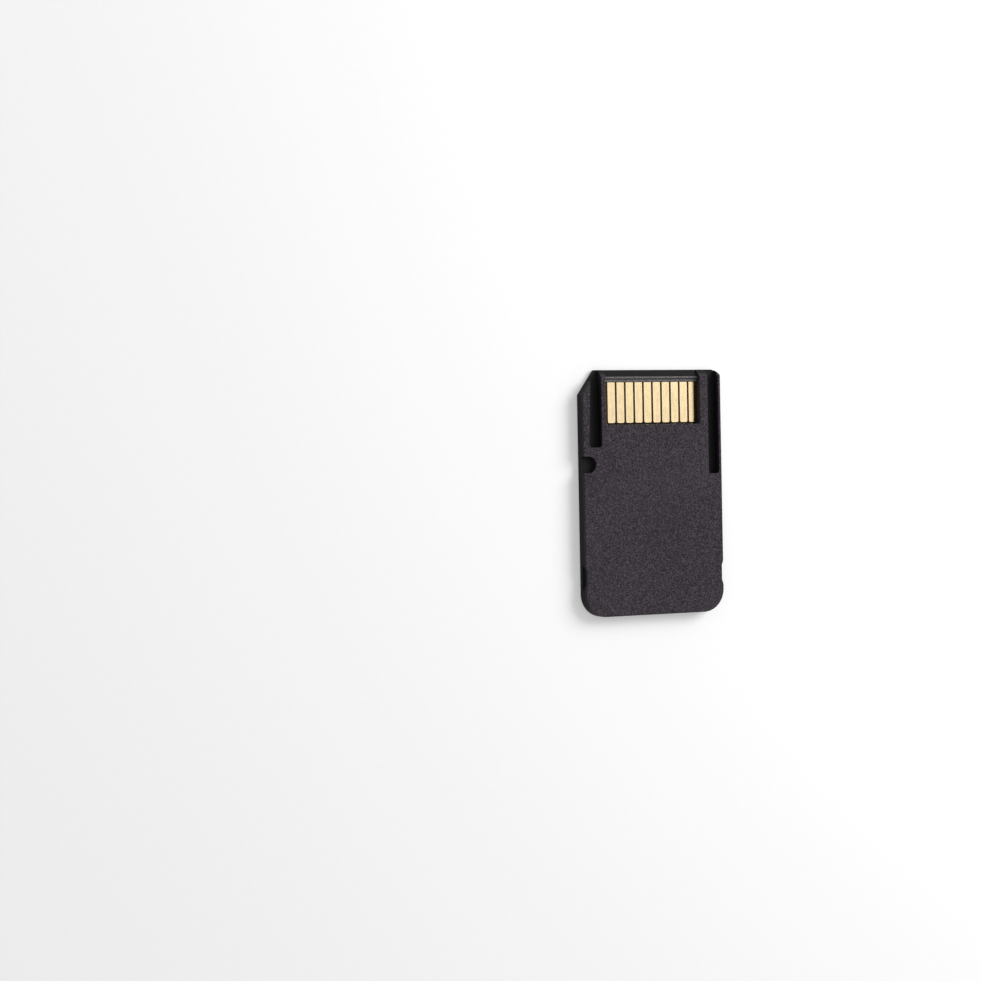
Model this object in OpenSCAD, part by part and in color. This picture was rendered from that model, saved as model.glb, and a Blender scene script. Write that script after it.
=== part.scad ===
// Memory card adapter: a duo-size card body that takes one small flash card from its rear end.
// It lies label side down. +Y is the contact end, +Z the contact face, and the origin is the
// middle of the label side.

/* [Body] */
// Width of the body
body_w = 20; // [18:0.1:24]
// Length of the body, from the rear end to the contact end
body_l = 31; // [30:0.1:36]
// Thickness of the body
body_t = 1.6; // [1.55:0.01:2.4]
// Width of the cut corner at the contact end
corner_cut_w = 2.2; // [1:0.1:3]
// Length of the cut corner along the side
corner_cut_l = 3.1; // [2:0.1:5]
// Radius of the two corners at the rear end
rear_corner_r = 2.9; // [2:0.1:3.8]
// Radius of the plain corner at the contact end
lead_corner_r = 0.9; // [0.85:0.01:1.6]
// Radius along the edge of the contact face
face_edge_r = 0.16; // [0.05:0.01:0.2]
// Radius along the edge of the label side
label_edge_r = 0.15; // [0.05:0.01:0.2]

/* [Shells] */
// Thickness of the tray's floor, on the label side
floor_t = 0.3; // [0.26:0.01:0.4]
// Thickness of the cover plate, on the contact side
cover_t = 0.32; // [0.3:0.01:0.4]
// Thickness of the tray's side and rear walls
side_wall = 0.6; // [0.5:0.01:0.8]
// Thickness of the tray's wall at the contact end
lead_wall = 0.8; // [0.5:0.01:0.9]
// Height of the shadow line between the two shells
seam_h = 0.07; // [0.04:0.01:0.1]
// Depth of the shadow line between the two shells
seam_d = 0.12; // [0.05:0.01:0.2]
// Depth of the moulded label field in the label side
label_field_d = 0.06; // [0.03:0.01:0.1]
// Border left round the label field
label_border = 1.2; // [0.8:0.1:2]
// Clearance between pieces that lie against each other
fit = 0.02; // [0.01:0.01:0.04]

/* [Contact end] */
// Drop of the bevel on the lands, from the contact face down to the leading edge
land_bevel_drop = 0.9; // [0.5:0.05:1]
// Height of the leading edge below the window's bevel
nose_h = 0.45; // [0.35:0.01:0.6]
// Height of the lip between the lands, over the board
lip_h = 0.34; // [0.2:0.01:0.45]
// Width of the lip, along the card
lip_w = 0.3; // [0.2:0.01:0.45]
// Width of the gutter behind the lip
gutter_w = 0.13; // [0.1:0.01:0.25]
// Thickness of the lip bar at the gutter
gutter_h = 0.06; // [0.04:0.01:0.1]
// Width of the ledge behind the gutter
ledge_w = 0.25; // [0.12:0.01:0.3]
// Height of the ledge over the board
ledge_h = 0.18; // [0.1:0.01:0.2]
// Radius along the lip's top edges
lip_r = 0.1; // [0.04:0.01:0.12]

/* [Guide grooves] */
// Depth of the two guide grooves, from the contact face
groove_depth = 1; // [0.8:0.01:1.1]
// Wall between each groove and the inside of the body
groove_wall = 0.3; // [0.25:0.01:0.4]
// Radius of the corners at the closed end of a groove
groove_corner_r = 0.3; // [0.1:0.01:0.5]
// Length of the left groove, from the leading edge
left_groove_l = 9.7; // [8:0.1:10]
// Left side to the left groove's outer wall, at the leading edge
left_land_lead = 1.25; // [1.2:0.01:1.6]
// Left side to the left groove's outer wall, at its closed end
left_land_end = 0.95; // [0.8:0.01:1.1]
// Left side to the left groove's inner wall
left_groove_in = 2.64; // [2.4:0.01:2.8]
// Length of the right groove, from the leading edge
right_groove_l = 13.3; // [11:0.1:14]
// Right side to the right groove's outer wall
right_land = 0.43; // [0.35:0.01:0.6]
// Right side to the right groove's inner wall
right_groove_in = 1.9; // [1.7:0.01:2.1]

/* [Contact window] */
// Left side to the window's edge
window_left = 3.34; // [3.2:0.01:3.5]
// Right side to the window's edge
window_right = 3.13; // [2.8:0.01:3.3]
// Leading edge to the window's closed end
window_l = 6.9; // [6.8:0.01:7.5]
// Radius of the two corners at the window's closed end
window_corner_r = 0.3; // [0.26:0.01:0.5]
// Thickness of the skirt behind the window
skirt_t = 0.3; // [0.2:0.01:0.4]
// Radius along the edges of the window and the grooves
mouth_r = 0.12; // [0.05:0.01:0.15]

/* [Contact pads] */
// Gap between two contact pads
pad_gap = 0.28; // [0.15:0.01:0.32]
// Width of the last pad
last_pad_w = 0.74; // [0.6:0.01:0.9]
// Thickness of a contact pad
pad_t = 0.03; // [0.02:0.005:0.06]
// Foot of the lip to the front ends of the pads
pad_front_gap = 0.06; // [0.04:0.01:0.2]
// Rear ends of the pads to the window's closed end
pad_rear_gap = 0.24; // [0.2:0.01:0.6]
// Window's left edge to the first pad
first_pad_margin = 0.69; // [0.5:0.01:0.75]
// Last pad to the window's right edge
last_pad_margin = 0.346; // [0.2:0.001:0.5]
// Radius of the corners at the rear end of a pad
pad_corner_r = 0.2; // [0.1:0.01:0.3]

/* [Lock notch] */
// Left groove's closed end to the lock notch
notch_gap = 1.1; // [0.9:0.1:1.6]
// Length of the lock notch along the side
notch_l = 2.1; // [1.8:0.1:2.4]
// Reach of the lock notch into the side
notch_in = 1.8; // [1.4:0.01:1.9]
// Depth of the lock notch, from the contact face
notch_depth = 0.7; // [0.5:0.01:0.9]
// Wall round the lock notch
notch_wall = 0.35; // [0.3:0.01:0.4]

/* [Grip notches] */
// Rear end to the middle of the grip notches
grip_at = 5; // [4.9:0.1:6.5]
// Length of a grip notch at the side
grip_l = 3.3; // [2.5:0.1:3.8]
// Length of the sloped run at each end of a grip notch
grip_slope = 0.7; // [0.3:0.01:0.8]
// Reach of a grip notch into the side
grip_in = 0.27; // [0.1:0.01:0.3]
// Depth of a grip notch, from the contact face
grip_depth = 0.9; // [0.5:0.01:1.1]

/* [Card slot] */
// Width of the small card
card_w = 11; // [10.8:0.1:11.2]
// Thickness of the small card
card_t = 0.7; // [0.65:0.01:0.72]
// Length of the small card
card_l = 15; // [14.5:0.1:15.2]
// Clearance round the small card
card_gap = 0.06; // [0.04:0.01:0.1]
// Space over the small card
card_play = 0.1; // [0.05:0.01:0.12]
// Width of the rails beside the small card
rail_w = 0.6; // [0.4:0.01:0.8]
// Reach of the key rib that fits the small card's cut side
key_in = 1.2; // [1:0.01:1.25]
// Length of the key rib, from the far end of the slot
key_l = 6.2; // [5:0.1:6.5]
// Width of the two hold-down ribs over the small card
hold_rib_w = 0.5; // [0.3:0.01:0.6]
// Depth of the beam over the mouth of the slot
mouth_beam = 1.2; // [0.8:0.1:1.6]
// Radius of the thumb recess in the label side
thumb_r = 5; // [4:0.1:5.4]
// Reach of the thumb recess from the rear end
thumb_in = 2.2; // [1.5:0.1:3]
// Thickness of the stiffening ribs beside the slot
side_rib_t = 0.4; // [0.3:0.01:0.5]
// Rear end to the first stiffening rib
side_rib_at = 7.6; // [7.5:0.1:8]
// Step from one stiffening rib to the next
side_rib_step = 2.6; // [2.4:0.1:2.8]

/* [Pegs] */
// Radius of the tray's locating pegs
peg_r = 0.4; // [0.3:0.01:0.45]
// Radial clearance round a peg, in the board and in its socket
peg_gap = 0.06; // [0.04:0.01:0.1]
// Wall of the sockets under the cover plate
socket_wall = 0.35; // [0.25:0.01:0.4]
// Far end of the slot to the middle of the board pegs
board_peg_at = 1.25; // [1.2:0.01:1.4]
// Rear end to the middle of the rear side pegs
rear_peg_at = 3.9; // [3.8:0.1:4.4]

/* [Board] */
// Thickness of the circuit board
board_t = 0.4; // [0.35:0.01:0.44]
// Clearance round the circuit board
board_gap = 0.07; // [0.04:0.01:0.1]
// Far end of the slot to the board's rear edge
board_back = 0.27; // [0.1:0.01:0.4]
// Width of the bridge chip
chip_w = 4.4; // [3.5:0.1:5]
// Space between the bridge chip and the springs' tails, and the skirt
chip_room = 0.25; // [0.15:0.01:0.4]
// Thickness of the bridge chip
chip_t = 0.42; // [0.35:0.01:0.45]
// Radius of the dimple in the bridge chip's corner
chip_dimple_r = 0.25; // [0.15:0.01:0.3]
// Depth of the dimple on the bridge chip
chip_dimple_d = 0.04; // [0.02:0.01:0.06]
// Length of a capacitor or resistor
small_part_l = 1; // [0.8:0.01:1.05]
// Width of a capacitor or resistor
small_part_w = 0.5; // [0.4:0.01:0.55]
// Height of a capacitor
capacitor_h = 0.4; // [0.3:0.01:0.45]
// Height of a resistor
resistor_h = 0.28; // [0.2:0.01:0.35]
// Length of the metal end of a capacitor or resistor
end_cap_l = 0.22; // [0.15:0.01:0.3]
// Height of a metal end over its body
end_cap_lift = 0.02; // [0.01:0.005:0.03]
// Space between the bridge chip and the nearest small part
small_part_gap = 0.5; // [0.3:0.01:0.6]
// Step between two small parts
small_part_step = 1.35; // [1.2:0.01:1.5]

/* [Card springs] */
// Pitch of the card springs
spring_pitch = 1.1; // [1.05:0.01:1.12]
// Width of a card spring
spring_w = 0.6; // [0.4:0.01:0.65]
// Thickness of a card spring
spring_t = 0.1; // [0.08:0.01:0.12]
// Length of a spring's soldered tail
tail_l = 1; // [0.8:0.01:1.1]
// Reach of a spring over the small card, to its tip
spring_reach = 3; // [2.5:0.1:3.2]
// Length of the upturned tip
tip_l = 0.75; // [0.5:0.01:0.9]
// Rise of the upturned tip
tip_rise = 0.16; // [0.1:0.01:0.18]
// How far a free spring reaches below the small card's contacts
spring_press = 0.12; // [0.05:0.01:0.16]
// Radius of the two square bends, along the strip's middle
bend_r = 0.15; // [0.12:0.01:0.17]
// Radius of the two slow bends, along the strip's middle
crest_r = 0.6; // [0.3:0.01:0.8]
// Depth of the spring block along the card
block_l = 1.6; // [1.2:0.01:1.7]
// Wall of the spring block past the first and last spring
block_side = 0.3; // [0.2:0.01:0.35]
// Space between the springs and the cover plate
spring_head = 0.06; // [0.04:0.01:0.08]

/* [Hidden] */
$fn = 64;
// Overrun of a cut past the surface it starts from
over = 1;
// Short overrun, for rounded edges and for ribs that run into a wall
nib = 0.25;

pad_count = 10;
spring_count = 8;
arc_steps = 6;

// The four sides of the body
left_x = -body_w / 2;
right_x = body_w / 2;
lead_y = body_l / 2;
rear_y = -body_l / 2;

// Levels, from the label side up
tray_h = body_t - cover_t;
board_z = floor_t + board_t;
slot_top_z = floor_t + card_t + card_play;
notch_z = body_t - notch_depth;
groove_z = body_t - groove_depth;
lip_z = board_z + fit + lip_h;

// Contact window and what frames it
window_x0 = left_x + window_left;
window_x1 = right_x - window_right;
window_y0 = lead_y - window_l;
lead_wall_y = lead_y - lead_wall;

// Lip, from its front to the foot of its ledge
lip_front_y = lead_wall_y - fit;
lip_back_y = lip_front_y - lip_w;
ledge_y = lip_back_y - gutter_w;

// Pads: they run from the lip's foot almost to the window's closed end, and their pitch shares out
// the window between its two margins
pad_front_y = ledge_y - ledge_w - pad_front_gap;
pad_rear_y = window_y0 + pad_rear_gap;
pad_row = window_x1 - window_x0 - first_pad_margin - last_pad_margin - last_pad_w;
pad_pitch = pad_row / (pad_count - 1);

// Guide grooves
left_groove_x = left_x + left_groove_in;
right_groove_x = right_x - right_groove_in;
left_groove_y = lead_y - left_groove_l;
right_groove_y = lead_y - right_groove_l;
// The left groove's outer wall leans, and runs on past the leading edge in the same line
lean = (left_land_lead - left_land_end) / (left_groove_l - groove_corner_r);
left_lead = [left_x + left_land_lead + lean * over, lead_y + over];

// Card slot
slot_half = card_w / 2 + card_gap;
slot_end_y = rear_y + card_l + 2 * card_gap;
grip_y = rear_y + grip_at;
notch_y = left_groove_y - notch_gap - notch_l / 2;

// Board, between the two groove walls and from the slot's end to the wall at the contact end
board_x0 = left_groove_x + groove_wall + board_gap;
board_x1 = right_groove_x - groove_wall - board_gap;
board_y0 = slot_end_y + board_back;
board_y1 = lead_wall_y - board_gap;

// Springs: the small card's contacts lie beside its cut side
row_x = key_in / 2;
spring_x0 = row_x - (spring_count - 1) / 2 * spring_pitch;
block_y0 = slot_end_y;
block_y1 = block_y0 + block_l;
root_z = tray_h - spring_head - spring_t / 2;
riser_y = block_y1 + bend_r + spring_t / 2;
tail_y = riser_y + tail_l;
block_half = (spring_count - 1) / 2 * spring_pitch + spring_w / 2 + block_side;

// The chip takes up the room between the springs' tails and the skirt behind the window
chip_x = (board_x0 + board_x1) / 2;
chip_y0 = tail_y + chip_room;
chip_y1 = window_y0 - skirt_t - chip_room;

// Peg places: two through the board, half way between the spring block and the board's sides, and
// four half way between the slot's rails and the side walls
board_peg_y = slot_end_y + board_peg_at;
side_peg_x = (right_x - side_wall + slot_half + rail_w) / 2;
front_peg_y = rear_y + side_rib_at + side_rib_step / 2;
peg_places = [
    [(board_x0 + row_x - block_half) / 2, board_peg_y],
    [(board_x1 + row_x + block_half) / 2, board_peg_y],
    [-side_peg_x, rear_y + rear_peg_at],
    [side_peg_x, rear_y + rear_peg_at],
    [-side_peg_x, front_peg_y],
    [side_peg_x, front_peg_y]
];
socket_bore_r = peg_r + peg_gap;
socket_r = socket_bore_r + socket_wall;

// Unit vector to the left of a heading
function left_of(heading) = [-sin(heading), cos(heading)];
// Heading of the line from p to q
function heading(p, q) = atan2(q[1] - p[1], q[0] - p[0]);
// Turn from one heading to the next, between -180 and 180
function turn(a, b) = (b - a + 540) % 360 - 180;

// Places and headings along the bend at b, between the lines a-b and b-c
function bend(a, b, c, r) =
    let (h0 = heading(a, b), angle = turn(h0, heading(b, c)), side = sign(angle))
    let (start = b - [cos(h0), sin(h0)] * r * tan(abs(angle) / 2))
    let (centre = start + side * r * left_of(h0))
    [for (k = [0 : arc_steps])
        let (h = h0 + angle * k / arc_steps) [centre - side * r * left_of(h), h]];

// Outline of a strip of thickness t along places with headings
function strip(track, t) = concat(
    [for (s = track) s[0] + t / 2 * left_of(s[1])],
    [for (i = [len(track) - 1 : -1 : 0]) track[i][0] - t / 2 * left_of(track[i][1])]
);

// Plan of the card, drawn in from its sides by a distance
module card_plan(inset = 0) {
    cut = norm([corner_cut_w, corner_cut_l]);
    cut_y = lead_y - corner_cut_l - inset * (cut - corner_cut_l) / corner_cut_w;
    cut_x = left_x + corner_cut_w + inset * (cut - corner_cut_w) / corner_cut_l;
    polygon([
        [left_x + inset, rear_y + rear_corner_r],
        [left_x + rear_corner_r, rear_y + inset],
        [right_x - rear_corner_r, rear_y + inset],
        [right_x - inset, rear_y + rear_corner_r],
        [right_x - inset, lead_y - lead_corner_r],
        [right_x - lead_corner_r, lead_y - inset],
        [cut_x, lead_y - inset],
        [left_x + inset, cut_y]
    ]);
    for (x = [left_x + rear_corner_r, right_x - rear_corner_r])
        translate([x, rear_y + rear_corner_r]) circle(rear_corner_r - inset);
    translate([right_x - lead_corner_r, lead_y - lead_corner_r]) circle(lead_corner_r - inset);
}

// What a round of radius r takes off a corner, with the corner at the origin
module round_profile(r) {
    difference() {
        translate([-r, -r]) square(r + nib);
        translate([-r, -r]) circle(r);
    }
}

// What a flat bevel of leg r takes off a corner, with the corner at the origin
module bevel_profile(r) {
    polygon([[-r, nib], [-r, 0], [0, -r], [nib, -r], [nib, nib]]);
}

// Cut that rounds or bevels the top edge from p to q, with the solid on its left
module edge_cut(p, q, r, past = 0, flat = false) {
    length = norm(q - p) + 2 * past;
    translate([p[0], p[1], 0])
    rotate([0, 0, heading(p, q) - 90])
    translate([0, length - past, 0])
    rotate([90, 0, 0])
    linear_extrude(length) {
        if (flat) bevel_profile(r);
        else round_profile(r);
    }
}

// Cut that rounds the top edge of a quarter corner
module corner_cut(centre, start, corner_r, r) {
    translate([centre[0], centre[1], 0])
    rotate([0, 0, start])
    rotate_extrude(angle = 90) translate([corner_r, 0]) round_profile(r);
}

// Cut that rounds the top edge of a quarter corner of a hole
module hole_corner_cut(centre, start, corner_r, r) {
    translate([centre[0], centre[1], 0])
    rotate([0, 0, start])
    rotate_extrude(angle = 90) translate([corner_r, 0]) mirror([1, 0]) round_profile(r);
}

// Cuts that round the whole edge of the card's plan, at level 0
module rim_cuts(r) {
    cut_top = [left_x + corner_cut_w, lead_y];
    cut_foot = [left_x, lead_y - corner_cut_l];
    edge_cut([left_x + rear_corner_r, rear_y], [right_x - rear_corner_r, rear_y], r);
    edge_cut([right_x, rear_y + rear_corner_r], [right_x, lead_y - lead_corner_r], r);
    edge_cut([right_x - lead_corner_r, lead_y], cut_top, r);
    edge_cut(cut_top, cut_foot, r, r);
    edge_cut(cut_foot, [left_x, rear_y + rear_corner_r], r);
    corner_cut([left_x + rear_corner_r, rear_y + rear_corner_r], 180, rear_corner_r, r);
    corner_cut([right_x - rear_corner_r, rear_y + rear_corner_r], 270, rear_corner_r, r);
    corner_cut([right_x - lead_corner_r, lead_y - lead_corner_r], 0, lead_corner_r, r);
}

// Plan of the left guide groove: its outer wall leans in towards the leading edge
module left_groove_plan() {
    end_x = left_x + left_land_end;
    r = groove_corner_r;
    polygon([
        [end_x, left_groove_y + r],
        [end_x + r, left_groove_y],
        [left_groove_x - r, left_groove_y],
        [left_groove_x, left_groove_y + r],
        [left_groove_x, lead_y + over],
        left_lead
    ]);
    for (x = [end_x + r, left_groove_x - r]) translate([x, left_groove_y + r]) circle(r);
}

// Plan of the right guide groove
module right_groove_plan() {
    outer_x = right_x - right_land;
    r = groove_corner_r;
    polygon([
        [right_groove_x, right_groove_y + r],
        [right_groove_x + r, right_groove_y],
        [outer_x - r, right_groove_y],
        [outer_x, right_groove_y + r],
        [outer_x, lead_y + over],
        [right_groove_x, lead_y + over]
    ]);
    for (x = [right_groove_x + r, outer_x - r]) translate([x, right_groove_y + r]) circle(r);
}

// Both guide grooves, as cut from the contact face
module groove_cuts() {
    translate([0, 0, groove_z]) linear_extrude(groove_depth + over) {
        left_groove_plan();
        right_groove_plan();
    }
}

// Plan of the lock notch, a straight mouth with a round end
module notch_plan(wall = 0) {
    r = notch_l / 2 + wall;
    end_x = left_x + notch_in - notch_l / 2;
    translate([end_x, notch_y]) circle(r);
    translate([left_x - over, notch_y - r]) square([end_x - left_x + over, 2 * r]);
}

// Lock notch, as cut from the contact face
module notch_cut() {
    translate([0, 0, notch_z]) linear_extrude(notch_depth + over) notch_plan();
}

// Grip notches in both sides, as cut from the contact face
module grip_cuts() {
    half = grip_l / 2;
    for (side = [0, 1]) mirror([side, 0, 0])
    translate([right_x, grip_y, body_t - grip_depth])
    linear_extrude(grip_depth + over)
    polygon([
        [-grip_in, half - grip_slope],
        [-grip_in, grip_slope - half],
        [0, -half],
        [over, -half],
        [over, half],
        [0, half]
    ]);
}

// Cut that bevels the leading edge, drawn from its side: from the top level down to the foot level
module lead_bevel(top_z, foot_z, x0, x1) {
    slope = (top_z - foot_z) / lead_wall;
    translate([x1, 0, 0])
    rotate([90, 0, -90])
    linear_extrude(x1 - x0)
    polygon([
        [-lead_wall_y, top_z],
        [-lead_wall_y, top_z + over],
        [-lead_y - over, top_z + over],
        [-lead_y - over, foot_z - over * slope]
    ]);
}

// Bevel over the whole leading edge, and the lower one in front of the window
module lead_bevels() {
    lead_bevel(body_t, body_t - land_bevel_drop, left_x - over, right_x + over);
    translate([window_x0, lead_wall_y, lip_z]) cube([window_x1 - window_x0, lead_wall + over, body_t]);
    lead_bevel(lip_z, nose_h, window_x0, window_x1);
}

// Contact-side shell: the grained cover plate with its window, lip, skirt, sockets and ribs
module contact_side_shell() {
    plate_z = tray_h + seam_h;
    skirt_z = board_z + fit;
    skirt_h = tray_h - skirt_z;
    color([0.25, 0.22, 0.25])
    union() {
        difference() {
            union() {
                translate([0, 0, plate_z]) linear_extrude(body_t - plate_z) card_plan();
                translate([0, 0, tray_h]) linear_extrude(seam_h) card_plan(seam_d);
            }
            groove_cuts();
            notch_cut();
            grip_cuts();
            lead_bevel(body_t, body_t - land_bevel_drop, left_x - over, right_x + over);
            window_cut();
            translate([0, 0, body_t]) rim_cuts(face_edge_r);
            translate([0, 0, body_t]) mouth_cuts(mouth_r);
        }
        translate([0, 0, skirt_z]) linear_extrude(skirt_h) skirt_plan();
        lip();
        slot_hold_downs();
        for (p = peg_places) translate([p[0], p[1], 0]) socket();
    }
}

// Plan of the window, with round corners at its closed end
module window_plan(past = 0) {
    r = window_corner_r;
    polygon([
        [window_x0, window_y0 + r],
        [window_x0 + r, window_y0],
        [window_x1 - r, window_y0],
        [window_x1, window_y0 + r],
        [window_x1, lead_y + past],
        [window_x0, lead_y + past]
    ]);
    for (x = [window_x0 + r, window_x1 - r]) translate([x, window_y0 + r]) circle(r);
}

// Window, as cut through the plate and out of its leading edge
module window_cut() {
    translate([0, 0, tray_h - over]) linear_extrude(body_t) window_plan(over);
}

// Cuts that round the window's edges and the straight edges of the grooves, at level 0
module mouth_cuts(r) {
    left_end = [left_x + left_land_end, left_groove_y + groove_corner_r];
    outer_x = right_x - right_land;
    corner_y = window_y0 + window_corner_r;
    corner_x0 = window_x0 + window_corner_r;
    corner_x1 = window_x1 - window_corner_r;
    edge_cut([corner_x1, window_y0], [corner_x0, window_y0], r);
    edge_cut([window_x0, corner_y], [window_x0, lead_y], r);
    edge_cut([window_x1, lead_y], [window_x1, corner_y], r);
    hole_corner_cut([corner_x0, corner_y], 180, window_corner_r, r);
    hole_corner_cut([corner_x1, corner_y], 270, window_corner_r, r);
    edge_cut(left_end, left_lead, r, 0, true);
    edge_cut([left_groove_x, lead_y], [left_groove_x, left_groove_y + groove_corner_r], r);
    edge_cut([right_groove_x, right_groove_y + groove_corner_r], [right_groove_x, lead_y], r);
    edge_cut([outer_x, lead_y], [outer_x, right_groove_y + groove_corner_r], r);
}

// Plan of the skirt that frames the window and presses on the board
module skirt_plan() {
    difference() {
        translate([board_x0, window_y0 - skirt_t])
        square([board_x1 - board_x0, board_y1 - window_y0 + skirt_t]);
        window_plan();
    }
}

// Lip across the window's front: a rounded bar, a gutter and a low ledge, drawn from the side, which
// runs a little way into the skirt at both ends
module lip() {
    translate([window_x1 + nib, 0, board_z + fit])
    rotate([90, 0, -90])
    linear_extrude(window_x1 - window_x0 + 2 * nib) {
        difference() {
            translate([-lip_front_y, 0]) square([lip_w, lip_h]);
            translate([-lip_front_y, lip_h]) mirror([1, 0]) round_profile(lip_r);
            translate([-lip_back_y, lip_h]) round_profile(lip_r);
        }
        translate([-lip_back_y, 0]) square([gutter_w, gutter_h]);
        translate([-ledge_y, 0]) square([ledge_w, ledge_h]);
    }
}

// Beam over the slot's mouth and the two ribs that hold the small card down
module slot_hold_downs() {
    drop = tray_h - slot_top_z;
    half = slot_half - card_gap;
    translate([-half, rear_y + seam_d, slot_top_z]) cube([2 * half, mouth_beam - seam_d, drop]);
    rib_l = slot_end_y - key_l - card_gap - rear_y - mouth_beam;
    for (x = [-half, half - hold_rib_w])
        translate([x, rear_y + mouth_beam, slot_top_z]) cube([hold_rib_w, rib_l, drop]);
}

// Socket under the plate that takes one of the tray's pegs
module socket() {
    z0 = board_z + fit;
    translate([0, 0, z0]) linear_extrude(tray_h - z0) difference() {
        circle(socket_r);
        circle(socket_bore_r);
    }
}

// Plan of the tray's walls, rails, ribs and thick sections round the grooves and the notch
module tray_wall_plan() {
    difference() {
        card_plan();
        intersection() {
            card_plan(side_wall);
            translate([left_x, rear_y]) square([body_w, body_l - lead_wall]);
        }
        translate([-slot_half, rear_y - over]) square([2 * slot_half, side_wall + 2 * over]);
    }
    intersection() {
        card_plan();
        union() {
            translate([left_x, left_groove_y - groove_wall])
            square([left_groove_in + groove_wall, left_groove_l + groove_wall]);
            translate([right_groove_x - groove_wall, right_groove_y - groove_wall])
            square([right_groove_in + groove_wall, right_groove_l + groove_wall]);
            notch_plan(notch_wall);
        }
    }
    for (side = [0, 1]) mirror([side, 0]) slot_rail_plan();
    translate([-slot_half, slot_end_y - key_l]) square([key_in, key_l - card_gap]);
}

// Plan of one rail beside the small card, with the stiffening ribs that tie it to the side wall
module slot_rail_plan() {
    rib_l = right_x - side_wall - slot_half;
    translate([slot_half, rear_y + side_wall]) square([rail_w, slot_end_y - rear_y - side_wall - card_gap]);
    for (k = [0, 1])
        translate([slot_half, rear_y + side_rib_at + k * side_rib_step - side_rib_t / 2])
        square([rib_l + nib, side_rib_t]);
}

// Label-side tray: floor, walls, guide grooves, lock notch, card rails and locating pegs
module label_side_tray() {
    color([0.13, 0.13, 0.14])
    difference() {
        union() {
            linear_extrude(floor_t) card_plan();
            linear_extrude(tray_h) tray_wall_plan();
            for (p = peg_places) translate([p[0], p[1], 0]) cylinder(r = peg_r, h = tray_h - fit);
        }
        groove_cuts();
        notch_cut();
        grip_cuts();
        lead_bevels();
        mirror([0, 0, 1]) rim_cuts(label_edge_r);
        thumb_recess();
        label_field();
    }
}

// Thumb recess through the floor at the slot's mouth
module thumb_recess() {
    translate([0, rear_y + thumb_in - thumb_r, -over]) cylinder(r = thumb_r, h = floor_t + over);
}

// Shallow bare field in the label side
module label_field() {
    y0 = rear_y + thumb_in + label_border;
    translate([left_x + label_border, y0, -over])
    cube([body_w - 2 * label_border, lead_y - corner_cut_l - y0, over + label_field_d]);
}

// Circuit board, with a hole over each of its two pegs
module circuit_board() {
    color([0.16, 0.13, 0.10])
    translate([0, 0, floor_t])
    difference() {
        translate([board_x0, board_y0, 0])
        cube([board_x1 - board_x0, board_y1 - board_y0, board_t]);
        for (k = [0, 1])
            translate([peg_places[k][0], peg_places[k][1], -over])
            cylinder(r = socket_bore_r, h = board_t + 2 * over);
    }
}

// One contact pad: square at the front, rounded at the rear
module contact_pad(k) {
    w = k == pad_count ? last_pad_w : pad_pitch - pad_gap;
    r = pad_corner_r;
    pad_l = pad_front_y - pad_rear_y;
    color([0.93, 0.80, 0.55])
    translate([window_x0 + first_pad_margin + (k - 1) * pad_pitch, pad_rear_y, board_z])
    linear_extrude(pad_t) {
        translate([0, r]) square([w, pad_l - r]);
        translate([r, 0]) square([w - 2 * r, r]);
        for (x = [r, w - r]) translate([x, r]) circle(r);
    }
}

// Spring block: a moulded comb on the board that holds the eight springs and stops the card
module spring_block() {
    z0 = board_z + fit;
    color([0.30, 0.29, 0.27])
    difference() {
        translate([row_x - block_half, block_y0, z0]) cube([2 * block_half, block_l, tray_h - fit - z0]);
        for (k = [0 : spring_count - 1])
            translate([spring_x0 + k * spring_pitch - spring_w / 2 - fit, block_y0 - over,
                root_z - spring_t / 2 - fit])
            cube([spring_w + 2 * fit, block_l + 2 * over, tray_h]);
    }
}

// One card spring: soldered tail, riser, run through the block, arm, crest and upturned tip
module card_spring(k) {
    contact_z = floor_t + card_t - spring_press + spring_t / 2;
    tail_z = board_z + spring_t / 2;
    tip_y = block_y0 - spring_reach;
    tail = [tail_y, tail_z];
    foot = [riser_y, tail_z];
    head = [riser_y, root_z];
    root = [block_y0, root_z];
    crest = [tip_y + tip_l, contact_z];
    tip = [tip_y, contact_z + tip_rise];
    track = concat(
        [[tail, 180]],
        bend(tail, foot, head, bend_r),
        bend(foot, head, root, bend_r),
        bend(head, root, crest, crest_r),
        bend(root, crest, tip, crest_r),
        [[tip, heading(crest, tip)]]
    );
    color([0.88, 0.76, 0.50])
    translate([spring_x0 + (k - 1) * spring_pitch - spring_w / 2, 0, 0])
    rotate([90, 0, 90])
    linear_extrude(spring_w) polygon(strip(track, spring_t));
}

// Bridge chip: the flat package that speaks to both cards, with a corner dimple
module bridge_chip() {
    inset = chip_dimple_r + chip_room;
    color([0.09, 0.09, 0.10])
    translate([chip_x - chip_w / 2, chip_y0, board_z])
    difference() {
        cube([chip_w, chip_y1 - chip_y0, chip_t]);
        translate([inset, inset, chip_t - chip_dimple_d]) cylinder(r = chip_dimple_r, h = over);
    }
}

// Small surface part: a body between two metal ends that stand slightly proud
module small_part(side, place, h, tint) {
    x = chip_x + side * (chip_w / 2 + small_part_gap + small_part_l / 2 + place * small_part_step);
    cap_w = small_part_w + 2 * end_cap_lift;
    color(tint)
    translate([x, (chip_y0 + chip_y1) / 2, board_z])
    union() {
        translate([-small_part_l / 2, -small_part_w / 2, 0]) cube([small_part_l, small_part_w, h]);
        for (end = [-1, 1])
            translate([end * (small_part_l - end_cap_l) / 2 - end_cap_l / 2, -cap_w / 2, 0])
            cube([end_cap_l, cap_w, h + end_cap_lift]);
    }
}

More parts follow.
